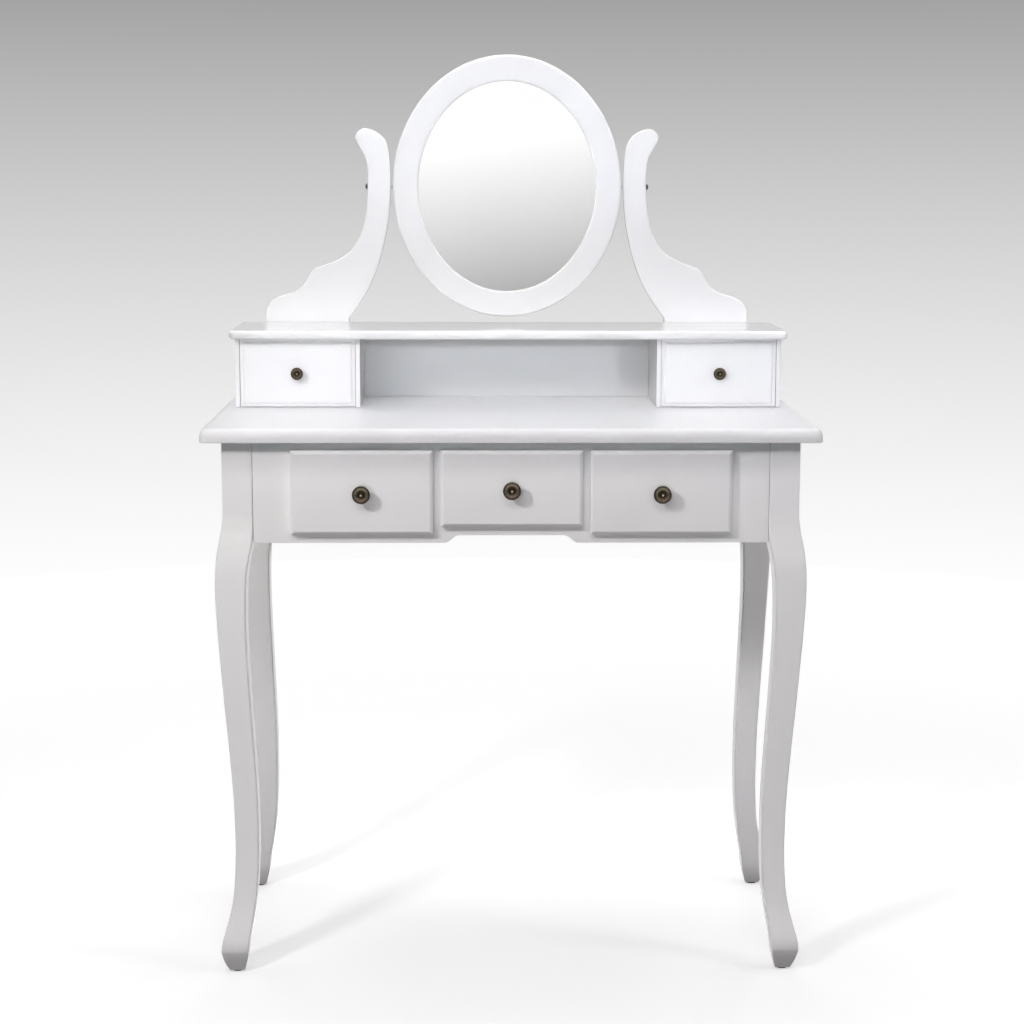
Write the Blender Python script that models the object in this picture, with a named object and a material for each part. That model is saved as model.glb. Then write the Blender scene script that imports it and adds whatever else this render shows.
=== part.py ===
"""Dressing table: five drawers, cabriole legs and an oval mirror that turns between two scroll brackets."""
import math

import bmesh
import bpy
from mathutils import Matrix, Vector

# Fits
fit_gap = 0.0003
run_gap = 0.0010
pivot_gap = 0.0001
cut_overrun = 0.010

# Table top
top_width = 0.800
top_depth = 0.400
table_height = 0.732
top_thick = 0.018
top_edge_round = 0.008
top_corner_round = 0.010

# Legs
leg_block = 0.039
leg_side_inset = 0.0265
leg_front_inset = 0.021
leg_back_inset = 0.015
leg_curve_top = 0.617
leg_swing = 0.0115
back_leg_splay = 0.004
leg_corner_round = 0.0035
glide_radius = 0.008
glide_height = 0.003
glide_round = 0.001

# Aprons
apron_height = 0.133
apron_thick = 0.015
apron_recess = 0.001
back_apron_thick = 0.012
apron_rise = 0.010
apron_rise_half_width = 0.068
apron_ogee_run = 0.019

# Lower drawers
drawer_end_margin = 0.050
drawer_spacing = 0.010
drawer_top_rail = 0.011
drawer_bottom_rail = 0.013
drawer_front_thick = 0.014
drawer_front_round = 0.004
drawer_overlap = 0.008
drawer_head_space = 0.006
drawer_back_space = 0.020
drawer_wall = 0.009
drawer_floor_thick = 0.004
drawer_floor_rise = 0.006
drawer_groove = 0.004

# Drawer runners under the table top
runner_ledge_width = 0.012
runner_ledge_thick = 0.008
runner_guide_height = 0.036
runner_end_width = 0.020

# Hutch on the table top
hutch_side_inset = 0.0215
hutch_height = 0.096
hutch_depth = 0.1495
hutch_panel = 0.006
hutch_back_thick = 0.005
hutch_floor_thick = 0.0035
hutch_rail_thick = 0.012
hutch_rail_height = 0.040
hutch_top_thick = 0.012
hutch_top_front = 0.022
hutch_top_side = 0.0065
hutch_top_round = 0.0055
hutch_top_corner = 0.008
shelf_width = 0.412

# Small drawers in the hutch
small_front_thick = 0.012
small_front_round = 0.003
small_front_gap = 0.0005
small_back_space = 0.008
small_head_space = 0.012
small_wall = 0.007
small_floor_thick = 0.003
small_floor_rise = 0.004
small_groove = 0.003

# Knobs
knob_radius = 0.0116
knob_reach = 0.023
small_knob_radius = 0.0085
small_knob_reach = 0.018
stud_radius = 0.002
stud_length = 0.008

# Mirror
mirror_width = 0.329
mirror_height = 0.373
mirror_border = 0.0368
mirror_thick = 0.015
mirror_lift = 0.0077
mirror_round = 0.004
mirror_inner_round = 0.003
mirror_lip = 0.005
mirror_rebate = 0.005
glass_thick = 0.003
backing_thick = 0.003

# Mirror brackets and their fixings
bracket_gap = 0.003
bracket_spread = 0.1818
bracket_crown = 0.0825
bracket_tail = 0.045
bracket_thick = 0.015
bracket_ease = 0.0025
bolt_radius = 0.0025
bolt_depth = 0.014
bolt_head_radius = 0.004
bolt_head_thick = 0.003
spacer_radius = 0.0036
screw_radius = 0.002
screw_head_radius = 0.004
screw_head_thick = 0.003
screw_sink = 0.004
screw_bite = 0.008
edge_ease = 0.0008

# Height along the leg's curve, outward swing, and width against the block, from the block to the floor
leg_shape_shares = [
    (1.000, 0.00, 1.000), (0.968, 0.18, 1.050), (0.935, 0.54, 1.115), (0.886, 0.87, 1.070),
    (0.831, 0.92, 1.020), (0.766, 0.78, 0.960), (0.701, 0.58, 0.920), (0.601, 0.22, 0.885),
    (0.490, -0.21, 0.850), (0.384, -0.55, 0.825), (0.272, -0.68, 0.800), (0.190, -0.50, 0.795),
    (0.141, -0.15, 0.805), (0.101, 0.40, 0.860), (0.070, 0.86, 0.910), (0.050, 1.00, 0.920),
]
# The toe below the crease, the last row just above the leg's underside
toe_shape_shares = [
    (0.050, 1.00, 0.920), (0.0412, 0.90, 0.874), (0.0287, 0.74, 0.790), (0.0152, 0.44, 0.654), (0.0057, 0.16, 0.528),
]

# Bracket outline from its outer foot over the crown to its inner foot: shares of its spread and height
bracket_outline_shares = [
    (1.000, 0.066), (0.963, 0.105), (0.899, 0.131), (0.828, 0.145), (0.762, 0.159), (0.708, 0.185),
    (0.673, 0.218), (0.645, 0.251), (0.601, 0.280), (0.540, 0.296), (0.442, 0.319), (0.337, 0.361),
    (0.261, 0.428), (0.217, 0.505), (0.190, 0.608), (0.180, 0.747), (0.196, 0.842), (0.242, 0.902),
    (0.277, 0.948), (0.255, 0.982), (0.198, 1.000), (0.107, 0.981), (0.043, 0.942), (0.015, 0.889),
    (0.002, 0.800), (0.000, 0.706), (0.014, 0.558), (0.050, 0.418), (0.106, 0.285), (0.175, 0.180),
    (0.252, 0.097), (0.329, 0.028), (0.337, 0.010),
]
# Screws in each bracket's foot, as shares of its spread
bracket_screw_shares = [0.50, 0.83]

# Knob profile from its foot to its middle: shares of its radius and of its reach
knob_shape_shares = [
    (0.56, 0.000), (0.56, 0.070), (0.38, 0.160), (0.38, 0.400), (0.92, 0.590), (1.00, 0.690),
    (1.00, 0.790), (0.76, 0.920), (0.40, 0.850), (0.17, 0.970), (0.00, 1.000),
]

# Counts of steps on round pieces
leg_steps = 2
bracket_steps = 2
ellipse_segments = 60
knob_segments = 18
pin_segments = 14

# Heights and depths that the pieces share
under_top = table_height - top_thick
drawer_setback = leg_front_inset + apron_recess - fit_gap - drawer_front_thick
knob_lead = knob_reach + fit_gap - drawer_setback
total_depth = knob_lead + top_depth + fit_gap + bracket_thick
rim_y = knob_lead - total_depth / 2
back_y = rim_y + top_depth
block_front_y = rim_y + leg_front_inset
block_back_y = back_y - leg_back_inset
leg_x = top_width / 2 - leg_side_inset
apron_y = block_front_y + apron_recess
apron_back_y = apron_y + apron_thick
back_apron_y = block_back_y - apron_recess - back_apron_thick
apron_half = leg_x - leg_block - fit_gap
apron_bottom = under_top - apron_height
hutch_z = table_height + fit_gap
hutch_half = top_width / 2 - hutch_side_inset
hutch_front_y = back_y - hutch_depth
hutch_back_y = back_y - hutch_back_thick
hutch_top_z = table_height + hutch_height
hutch_inner_x = shelf_width / 2 + hutch_panel
hutch_outer_x = hutch_half - hutch_panel
hutch_floor_z = hutch_z + hutch_floor_thick
hutch_rail_y = hutch_back_y - fit_gap - hutch_rail_thick
crest_z = hutch_top_z + hutch_top_thick
bracket_y = back_y + fit_gap
pivot_z = crest_z + mirror_lift + mirror_height / 2
pivot_y = bracket_y + bracket_thick / 2
mirror_y = pivot_y - mirror_thick / 2
bracket_x = mirror_width / 2 + bracket_gap
bracket_height = pivot_z - crest_z + bracket_crown
screw_z = hutch_top_z - fit_gap - hutch_rail_height / 2


def material(name, color, roughness, metallic=0.0):
    """A plain Principled material."""
    made = bpy.data.materials.new(name)
    made.use_nodes = True
    shader = made.node_tree.nodes["Principled BSDF"]
    shader.inputs["Base Color"].default_value = (*color, 1.0)
    shader.inputs["Roughness"].default_value = roughness
    shader.inputs["Metallic"].default_value = metallic
    made.diffuse_color = (*color, 1.0)
    return made


def clear_scene():
    """Remove whatever the scene holds."""
    for old in list(bpy.data.objects):
        bpy.data.objects.remove(old, do_unlink=True)


def empty(name, location):
    """A parent for the pieces that move together, on their joint's axis."""
    made = bpy.data.objects.new(name, None)
    made.location = location
    bpy.context.collection.objects.link(made)
    return made


def place(name, mesh_data, finish=None, parent=None):
    """Turn a world-space bmesh into a named object, with its origin on its parent's."""
    bmesh.ops.recalc_face_normals(mesh_data, faces=mesh_data.faces)
    origin = Vector(parent.location) if parent else Vector((0, 0, 0))
    bmesh.ops.translate(mesh_data, verts=mesh_data.verts, vec=-origin)
    mesh = bpy.data.meshes.new(name)
    mesh_data.to_mesh(mesh)
    mesh_data.free()
    made = bpy.data.objects.new(name, mesh)
    bpy.context.collection.objects.link(made)
    if parent:
        made.parent = parent
    if finish:
        mesh.materials.append(finish)
        mesh.shade_smooth()
        mesh.set_sharp_from_angle(angle=math.radians(30))
    return made


def cut(target, name, mesh_data):
    """Take a cutter away from a piece; the cutter keeps the piece's parent."""
    cutter = place(name, mesh_data, parent=target.parent)
    cutter.hide_render = True
    cutter.display_type = "WIRE"
    modifier = target.modifiers.new(name, "BOOLEAN")
    modifier.operation = "DIFFERENCE"
    modifier.solver = "EXACT"
    modifier.object = cutter


def add_block(mesh_data, low, high):
    """Add a box between two corners to a bmesh and return its vertices."""
    size = [b - a for a, b in zip(low, high)]
    middle = [(a + b) / 2 for a, b in zip(low, high)]
    shape = Matrix.Translation(middle) @ Matrix.Diagonal((*size, 1))
    return bmesh.ops.create_cube(mesh_data, size=1, matrix=shape)["verts"]


def block(low, high, ease=0.0, keep=None, segments=1):
    """A box with its edges eased, or only those that keep accepts."""
    mesh_data = bmesh.new()
    add_block(mesh_data, low, high)
    if ease > 0:
        edges = [edge for edge in mesh_data.edges if keep is None or keep(edge)]
        bmesh.ops.bevel(mesh_data, geom=edges, offset=ease, segments=segments, profile=0.5, affect="EDGES")
    return mesh_data


def blocks(*corners):
    """Several boxes in one bmesh, for cutters."""
    mesh_data = bmesh.new()
    for low, high in corners:
        add_block(mesh_data, low, high)
    return mesh_data


def skin(rings, closed=False):
    """Join rings of equally many points with quads, and cap the ends unless the rings close on themselves."""
    mesh_data = bmesh.new()
    rows = [[mesh_data.verts.new(point) for point in ring] for ring in rings]
    pairs = list(zip(rows, rows[1:]))
    if closed:
        pairs.append((rows[-1], rows[0]))
    for first, second in pairs:
        for i in range(len(first)):
            j = (i + 1) % len(first)
            mesh_data.faces.new((first[i], first[j], second[j], second[i]))
    if not closed:
        mesh_data.faces.new(rows[0])
        mesh_data.faces.new(rows[-1])
    return mesh_data


def prism(outline, y_low, y_high, ease=0.0):
    """Extrude an outline of x, z points from one y to another, and ease both of its rims."""
    mesh_data = bmesh.new()
    face = mesh_data.faces.new([mesh_data.verts.new((x, y_low, z)) for x, z in outline])
    grown = bmesh.ops.extrude_face_region(mesh_data, geom=[face])["geom"]
    moved = [item for item in grown if isinstance(item, bmesh.types.BMVert)]
    bmesh.ops.translate(mesh_data, verts=moved, vec=(0, y_high - y_low, 0))
    if ease > 0:
        rim = [e for e in mesh_data.edges if abs(e.verts[0].co.y - e.verts[1].co.y) < fit_gap]
        bmesh.ops.bevel(mesh_data, geom=rim, offset=ease, segments=1, profile=0.5, affect="EDGES")
    return mesh_data


def turned(profile, place_at, direction, segments):
    """Spin a profile of radius, height points about an axis through a point."""
    mesh_data = bmesh.new()
    verts = [mesh_data.verts.new((radius, 0, height)) for radius, height in profile]
    edges = [mesh_data.edges.new(pair) for pair in zip(verts, verts[1:])]
    bmesh.ops.spin(mesh_data, geom=verts + edges, cent=(0, 0, 0), axis=(0, 0, 1),
                   angle=math.tau, steps=segments, use_duplicate=False)
    bmesh.ops.remove_doubles(mesh_data, verts=mesh_data.verts, dist=fit_gap / 30)
    turn = Vector((0, 0, 1)).rotation_difference(Vector(direction)).to_matrix().to_4x4()
    bmesh.ops.transform(mesh_data, matrix=Matrix.Translation(place_at) @ turn, verts=mesh_data.verts)
    return mesh_data


def pin(radius, start, end):
    """A plain round bar between two points, for the cutters of holes."""
    length = (Vector(end) - Vector(start)).length
    profile = [(0, 0), (radius, 0), (radius, length), (0, length)]
    return turned(profile, start, Vector(end) - Vector(start), pin_segments)


def smooth_path(points, steps):
    """Points of a Catmull-Rom curve through the given points, with steps to a span."""
    path = []
    ends = [points[0], *points, points[-1]]
    for a, b, c, d in zip(ends, ends[1:], ends[2:], ends[3:]):
        for step in range(steps):
            t = step / steps
            path.append([0.5 * (2 * q + (r - p) * t + (2 * p - 5 * q + 4 * r - s) * t ** 2
                                + (3 * q - p - 3 * r + s) * t ** 3) for p, q, r, s in zip(a, b, c, d)])
    path.append(list(points[-1]))
    return path


def arc(centre, radius, start, end, steps):
    """Points on an arc, angles in degrees."""
    angles = [math.radians(start + (end - start) * i / steps) for i in range(steps + 1)]
    return [(centre[0] + radius * math.cos(a), centre[1] + radius * math.sin(a)) for a in angles]


def round_square(centre, width, radius):
    """Outline of a square with rounded corners."""
    reach = width / 2 - radius
    corners = [(1, 1, 0), (-1, 1, 90), (-1, -1, 180), (1, -1, 270)]
    points = []
    for sx, sy, start in corners:
        points += arc((centre[0] + sx * reach, centre[1] + sy * reach), radius, start, start + 90, 2)
    return points


def board_outline(half, y_front, y_back, corner, inset):
    """Plan of a board with rounded front corners, drawn in at the front and the sides."""
    radius = corner - inset
    left = arc((corner - half, y_front + corner), radius, 180, 270, 4)
    right = arc((half - corner, y_front + corner), radius, 270, 360, 4)
    return [(inset - half, y_back), *left, *right, (half - inset, y_back)]


def board(half, y_front, y_back, z_low, z_high, corner, rise_low, rise_high):
    """A board whose front and side edges are rounded below and above by the given radii."""
    steps = 4
    levels = []
    if rise_low > 0:
        for i in range(steps):
            angle = math.pi / 2 * i / steps
            levels.append((rise_low * (1 - math.sin(angle)), z_low + rise_low * (1 - math.cos(angle))))
    levels.append((0, z_low + rise_low))
    for i in range(steps + 1):
        angle = math.pi / 2 * i / steps
        levels.append((rise_high * (1 - math.cos(angle)), z_high - rise_high * (1 - math.sin(angle))))
    return skin([[(x, y, z) for x, y in board_outline(half, y_front, y_back, corner, inset)]
                 for inset, z in levels])


def ellipse(half_width, half_height, y):
    """Points on an upright ellipse about the mirror's pivot."""
    angles = [math.tau * i / ellipse_segments for i in range(ellipse_segments)]
    return [(half_width * math.cos(a), y, pivot_z + half_height * math.sin(a)) for a in angles]


def ellipse_plate(growth, y_low, y_high):
    """An upright oval plate, larger than the mirror's opening all round."""
    half_width = mirror_width / 2 - mirror_border + growth
    half_height = mirror_height / 2 - mirror_border + growth
    return skin([ellipse(half_width, half_height, y) for y in (y_low, y_high)])


def leg_rings(side, end):
    """Rings of one leg, top to bottom: side is -1 or 1 in x, end is -1 at the front and 1 at the back."""
    face_y = block_front_y if end < 0 else block_back_y
    shape = smooth_path(leg_shape_shares, leg_steps) + [list(row) for row in toe_shape_shares[1:]]
    stations = [(under_top - fit_gap, 0, leg_block)]
    stations += [(share * leg_curve_top, swing * leg_swing, width * leg_block) for share, swing, width in shape]
    last = stations[-1]
    before = stations[-2]
    fall = (last[0] - glide_height) / (before[0] - last[0])
    stations.append((glide_height, *(b + (b - a) * fall for a, b in zip(before[1:], last[1:]))))
    rings = []
    for z, swing, width in stations:
        lean = back_leg_splay * max(0, 1 - z / leg_curve_top) if end > 0 else 0
        centre = (side * (leg_x + lean + swing - width / 2), face_y + end * (swing - width / 2))
        rings.append([(x, y, z) for x, y in round_square(centre, width, leg_corner_round)])
    return rings


def make_legs(lacquer, rubber):
    """Four legs, each with a glide under its toe."""
    for end, end_name in ((-1, "front"), (1, "back")):
        for side, side_name in ((-1, "left"), (1, "right")):
            rings = leg_rings(side, end)
            foot = Vector([sum(axis) / len(axis) for axis in zip(*rings[-1])])
            place(f"leg_{end_name}_{side_name}", skin(rings), lacquer)
            top = glide_height - fit_gap
            profile = [(0, 0), (glide_radius - glide_round, 0), (glide_radius, glide_round), (glide_radius, top), (0, top)]
            seat = (foot.x, foot.y, 0)
            place(f"glide_{end_name}_{side_name}", turned(profile, seat, (0, 0, 1), pin_segments), rubber)


def lower_drawer_span(slot):
    """Low and high x of the front of a lower drawer: slot is -1, 0 or 1."""
    width = (2 * (apron_half + fit_gap) - 2 * drawer_end_margin - 2 * drawer_spacing) / 3
    middle = slot * (width + drawer_spacing)
    return middle - width / 2, middle + width / 2


def lower_drawer_bottom(slot):
    """Underside of the front of a lower drawer; the middle one follows the apron's rise."""
    return apron_bottom + drawer_bottom_rail + (apron_rise if slot == 0 else 0)


def lower_cutout(slot):
    """Low and high corner, in x and z, of the hole that a lower drawer slides through."""
    low, high = lower_drawer_span(slot)
    top = under_top - drawer_top_rail - drawer_overlap
    return (low + drawer_overlap, lower_drawer_bottom(slot) + drawer_overlap), (high - drawer_overlap, top)


def make_front_apron(lacquer):
    """The front apron: its lower edge steps up in the middle, and three holes take the drawers."""
    steps = 6
    step_up = []
    for i in range(steps + 1):
        share = i / steps
        x = apron_rise_half_width + apron_ogee_run * (1 - share)
        step_up.append((x, apron_bottom + apron_rise * (1 - math.cos(math.pi * share)) / 2))
    top = under_top - fit_gap
    outline = [(-apron_half, apron_bottom)]
    outline += [(-x, z) for x, z in step_up]
    outline += list(reversed(step_up))
    outline += [(apron_half, apron_bottom), (apron_half, top), (-apron_half, top)]
    apron = place("front_apron", prism(outline, apron_y, apron_back_y, edge_ease), lacquer)
    holes = []
    for slot in (-1, 0, 1):
        (x_low, z_low), (x_high, z_high) = lower_cutout(slot)
        holes.append(((x_low, apron_y - cut_overrun, z_low), (x_high, apron_back_y + cut_overrun, z_high)))
    cut(apron, "cutter_drawer_holes", blocks(*holes))


def make_other_aprons(lacquer):
    """The two side aprons and the back apron."""
    top = under_top - fit_gap
    y_low = block_front_y + leg_block + fit_gap
    y_high = block_back_y - leg_block - fit_gap
    outer = leg_x - apron_recess
    for side, name in ((-1, "left"), (1, "right")):
        x_low, x_high = sorted((side * outer, side * (outer - apron_thick)))
        place(f"side_apron_{name}", block((x_low, y_low, apron_bottom), (x_high, y_high, top), edge_ease), lacquer)
    low = (-apron_half, back_apron_y, apron_bottom)
    high = (apron_half, back_apron_y + back_apron_thick, top)
    place("back_apron", block(low, high, edge_ease), lacquer)


def make_runners(bare_wood):
    """Four runners from apron to apron, with ledges at the heights of the drawers beside them."""
    y_low = apron_back_y + fit_gap
    y_high = back_apron_y - fit_gap
    (_, low_middle), (middle_edge, _) = lower_cutout(0)
    (side_start, low_side), (side_end, _) = lower_cutout(1)
    seat_middle = low_middle + run_gap - fit_gap
    seat_side = low_side + run_gap - fit_gap
    under_middle = seat_middle - runner_ledge_thick
    under_side = seat_side - runner_ledge_thick
    crown = seat_side + runner_guide_height
    inner = [
        (middle_edge - runner_ledge_width, under_middle), (middle_edge, under_middle), (middle_edge, under_side),
        (side_start + runner_ledge_width, under_side), (side_start + runner_ledge_width, seat_side),
        (side_start, seat_side), (side_start, crown), (middle_edge, crown), (middle_edge, seat_middle),
        (middle_edge - runner_ledge_width, seat_middle),
    ]
    outer = [
        (side_end - runner_ledge_width, under_side), (side_end + runner_end_width, under_side),
        (side_end + runner_end_width, crown), (side_end, crown), (side_end, seat_side),
        (side_end - runner_ledge_width, seat_side),
    ]
    for side, side_name in ((-1, "left"), (1, "right")):
        for outline, name in ((inner, "inner"), (outer, "outer")):
            place(f"runner_{name}_{side_name}", prism([(side * x, z) for x, z in outline], y_low, y_high), bare_wood)


def make_knob(name, parent, x, z, face_y, radius, reach, bronze):
    """A turned knob with the stud that holds it in the drawer front."""
    shape = [(share_r * radius, fit_gap + share_y * reach) for share_r, share_y in knob_shape_shares]
    profile = [(0, -stud_length), (stud_radius, -stud_length), (stud_radius, fit_gap), *shape]
    place(name, turned(profile, (x, face_y, z), (0, -1, 0), knob_segments), bronze, parent)


def make_drawer(name, front_low, front_high, face_y, thick, rounding, box_low, box_high, sizes, knob, finishes):
    """A drawer: its front, a four-sided box behind it, a floor in the box's grooves, and a knob."""
    wall, floor_thick, floor_rise, groove = sizes
    lacquer, bare_wood, hardboard, bronze = finishes
    middle = ((front_low[0] + front_high[0]) / 2, (front_low[1] + front_high[1]) / 2)
    body = empty(f"{name}_slide", (middle[0], face_y, middle[1]))
    low = (front_low[0], face_y, front_low[1])
    high = (front_high[0], face_y + thick, front_high[1])

    def at_face(edge):
        return all(vert.co.y < face_y + thick / 2 for vert in edge.verts)

    front = place(f"{name}_front", block(low, high, rounding, at_face, 3), lacquer, body)
    hole = pin(stud_radius + fit_gap, (middle[0], face_y - cut_overrun, middle[1]),
               (middle[0], face_y + stud_length + fit_gap, middle[1]))
    cut(front, f"cutter_{name}_stud", hole)
    box = place(f"{name}_box", block(box_low, box_high, edge_ease), bare_wood, body)
    inside_low = (box_low[0] + wall, box_low[1] + wall, box_low[2] - cut_overrun)
    inside_high = (box_high[0] - wall, box_high[1] - wall, box_high[2] + cut_overrun)
    cut(box, f"cutter_{name}_inside", blocks((inside_low, inside_high)))
    slot_z = box_low[2] + floor_rise
    slot_low = (inside_low[0] - groove, inside_low[1] - groove, slot_z)
    slot_high = (inside_high[0] + groove, inside_high[1] + groove, slot_z + floor_thick + 2 * fit_gap)
    cut(box, f"cutter_{name}_groove", blocks((slot_low, slot_high)))
    floor_low = [edge + fit_gap for edge in slot_low]
    floor_high = [edge - fit_gap for edge in slot_high]
    place(f"{name}_floor", block(floor_low, floor_high), hardboard, body)
    make_knob(f"{name}_knob", body, middle[0], middle[1], face_y, *knob, bronze)


def make_lower_drawers(finishes):
    """Three drawers under the table top, their fronts lying on the apron."""
    face_y = apron_y - fit_gap - drawer_front_thick
    sizes = (drawer_wall, drawer_floor_thick, drawer_floor_rise, drawer_groove)
    for slot, name in ((-1, "drawer_left"), (0, "drawer_middle"), (1, "drawer_right")):
        x_low, x_high = lower_drawer_span(slot)
        (hole_low, hole_floor), (hole_high, hole_top) = lower_cutout(slot)
        front_low = (x_low, lower_drawer_bottom(slot))
        front_high = (x_high, under_top - drawer_top_rail)
        box_low = (hole_low + run_gap, apron_y, hole_floor + run_gap)
        box_high = (hole_high - run_gap, back_apron_y - drawer_back_space, hole_top - drawer_head_space)
        make_drawer(name, front_low, front_high, face_y, drawer_front_thick, drawer_front_round,
                    box_low, box_high, sizes, (knob_radius, knob_reach), finishes)


def make_small_drawers(finishes):
    """Two small drawers in the hutch, their fronts set between its panels."""
    sizes = (small_wall, small_floor_thick, small_floor_rise, small_groove)
    face_y = hutch_front_y
    for side, name in ((-1, "small_drawer_left"), (1, "small_drawer_right")):
        x_low, x_high = sorted((side * (hutch_inner_x + small_front_gap), side * (hutch_outer_x - small_front_gap)))
        front_low = (x_low, hutch_z + small_front_gap)
        front_high = (x_high, hutch_top_z - small_front_gap)
        x_low, x_high = sorted((side * (hutch_inner_x + run_gap), side * (hutch_outer_x - run_gap)))
        box_low = (x_low, face_y + small_front_thick + fit_gap, hutch_floor_z + fit_gap)
        box_high = (x_high, hutch_rail_y - small_back_space, hutch_top_z - small_head_space)
        make_drawer(name, front_low, front_high, face_y, small_front_thick, small_front_round,
                    box_low, box_high, sizes, (small_knob_radius, small_knob_reach), finishes)


def bracket_screws():
    """Signed x of the four screws that hold the mirror brackets, with their sides."""
    return [(side, name, number, side * (bracket_x + share * bracket_spread))
            for side, name in ((-1, "left"), (1, "right"))
            for number, share in enumerate(bracket_screw_shares, 1)]


def screw_holes(y_low, y_high, keep_side=None):
    """Cutters for the bracket screws' shanks between two depths."""
    mesh_data = bmesh.new()
    for side, _, _, x in bracket_screws():
        if keep_side in (None, side):
            hole = pin(screw_radius + fit_gap, (x, y_low, screw_z), (x, y_high, screw_z))
            scratch = bpy.data.meshes.new("scratch")
            hole.to_mesh(scratch)
            hole.free()
            mesh_data.from_mesh(scratch)
            bpy.data.meshes.remove(scratch)
    return mesh_data


def make_hutch(lacquer):
    """The hutch: sides, dividers, back, floors and rails of the drawer bays, and its top."""
    top = hutch_top_z - fit_gap
    wall_back = hutch_back_y - fit_gap
    shank_end = hutch_rail_y + hutch_rail_thick - screw_bite - fit_gap
    for side, name in ((-1, "left"), (1, "right")):
        for label, inner, outer in (("side", hutch_outer_x, hutch_half), ("divider", shelf_width / 2, hutch_inner_x)):
            x_low, x_high = sorted((side * inner, side * outer))
            panel = block((x_low, hutch_front_y, hutch_z), (x_high, wall_back, top), edge_ease)
            place(f"hutch_{label}_{name}", panel, lacquer)
        x_low, x_high = sorted((side * (hutch_inner_x + fit_gap), side * (hutch_outer_x - fit_gap)))
        low = (x_low, hutch_front_y + small_front_thick + run_gap, hutch_z)
        place(f"hutch_floor_{name}", block(low, (x_high, wall_back, hutch_floor_z), edge_ease), lacquer)
        low = (x_low, hutch_rail_y, top - hutch_rail_height)
        rail = place(f"hutch_rail_{name}", block(low, (x_high, wall_back, top), edge_ease), lacquer)
        cut(rail, f"cutter_rail_{name}", screw_holes(shank_end, back_y + cut_overrun, side))
    back = place("hutch_back", block((-hutch_half, hutch_back_y, hutch_z), (hutch_half, back_y, top), edge_ease), lacquer)
    cut(back, "cutter_hutch_back", screw_holes(hutch_rail_y, back_y + cut_overrun))
    crest = board(hutch_half + hutch_top_side, hutch_front_y - hutch_top_front, back_y, hutch_top_z, crest_z,
                  hutch_top_corner, hutch_top_round, hutch_top_round)
    place("hutch_top", crest, lacquer)


def make_mirror(lacquer, silver, hardboard, black_metal):
    """The oval frame with its glass and backing, and the two bolts that it turns on, with their spacers."""
    body = empty("mirror_pivot", (0, pivot_y, pivot_z))
    half_width = mirror_width / 2
    half_height = mirror_height / 2
    back = mirror_y + mirror_thick
    bend = mirror_inner_round
    section = [(mirror_border, mirror_lip), (mirror_border, bend), (mirror_border - bend / 4, bend / 4),
               (mirror_border - bend, 0), (mirror_round, 0), (mirror_round / 4, mirror_round / 4),
               (0, mirror_round), (0, mirror_thick - edge_ease), (edge_ease, mirror_thick),
               (mirror_border - mirror_rebate, mirror_thick), (mirror_border - mirror_rebate, mirror_lip)]
    rings = [ellipse(half_width - inset, half_height - inset, mirror_y + depth) for inset, depth in section]
    frame = place("mirror_frame", skin(rings, closed=True), lacquer, body)
    seat = half_width - bolt_depth
    for side, name in ((-1, "left"), (1, "right")):
        hole = pin(bolt_radius + fit_gap, (side * (seat - fit_gap), pivot_y, pivot_z),
                   (side * (half_width + cut_overrun), pivot_y, pivot_z))
        cut(frame, f"cutter_frame_{name}", hole)
        head = bracket_reach() + fit_gap - seat
        profile = [(0, 0), (bolt_radius, 0), (bolt_radius, head), (bolt_head_radius, head),
                   (bolt_head_radius, head + bolt_head_thick / 2), (bolt_head_radius * 0.75, head + bolt_head_thick),
                   (0, head + bolt_head_thick)]
        bolt = turned(profile, (side * seat, pivot_y, pivot_z), (side, 0, 0), pin_segments)
        place(f"pivot_bolt_{name}", bolt, black_metal, body)
        profile = [(bolt_radius + pivot_gap, fit_gap), (spacer_radius, fit_gap),
                   (spacer_radius, bracket_gap - fit_gap), (bolt_radius + pivot_gap, bracket_gap - fit_gap)]
        spacer = turned([*profile, profile[0]], (side * half_width, pivot_y, pivot_z), (side, 0, 0), pin_segments)
        place(f"pivot_spacer_{name}", spacer, black_metal, body)
    glass_y = mirror_y + mirror_lip + fit_gap
    backing_y = glass_y + glass_thick + fit_gap
    growth = mirror_rebate - fit_gap
    place("mirror_glass", ellipse_plate(growth, glass_y, glass_y + glass_thick), silver, body)
    place("mirror_backing", ellipse_plate(growth, backing_y, min(backing_y + backing_thick, back)), hardboard, body)


def bracket_outline():
    """The right bracket's outline in x and z, with its tail behind the hutch."""
    points = [(bracket_x + across * bracket_spread, crest_z + up * bracket_height)
              for across, up in bracket_outline_shares]
    path = smooth_path(points, bracket_steps)
    foot = crest_z - bracket_tail
    return [(path[0][0], foot), *path, (path[-1][0], foot)]


def bracket_reach():
    """Largest x of the bracket's outer edge behind the head of the pivot bolt."""
    outline = bracket_outline()
    reach = 0
    for z in (pivot_z - bolt_head_radius, pivot_z, pivot_z + bolt_head_radius):
        crossings = []
        for (x_a, z_a), (x_b, z_b) in zip(outline, outline[1:]):
            if min(z_a, z_b) <= z < max(z_a, z_b):
                crossings.append(x_a + (x_b - x_a) * (z - z_a) / (z_b - z_a))
        reach = max(reach, sorted(crossings)[1])
    return reach


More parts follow.
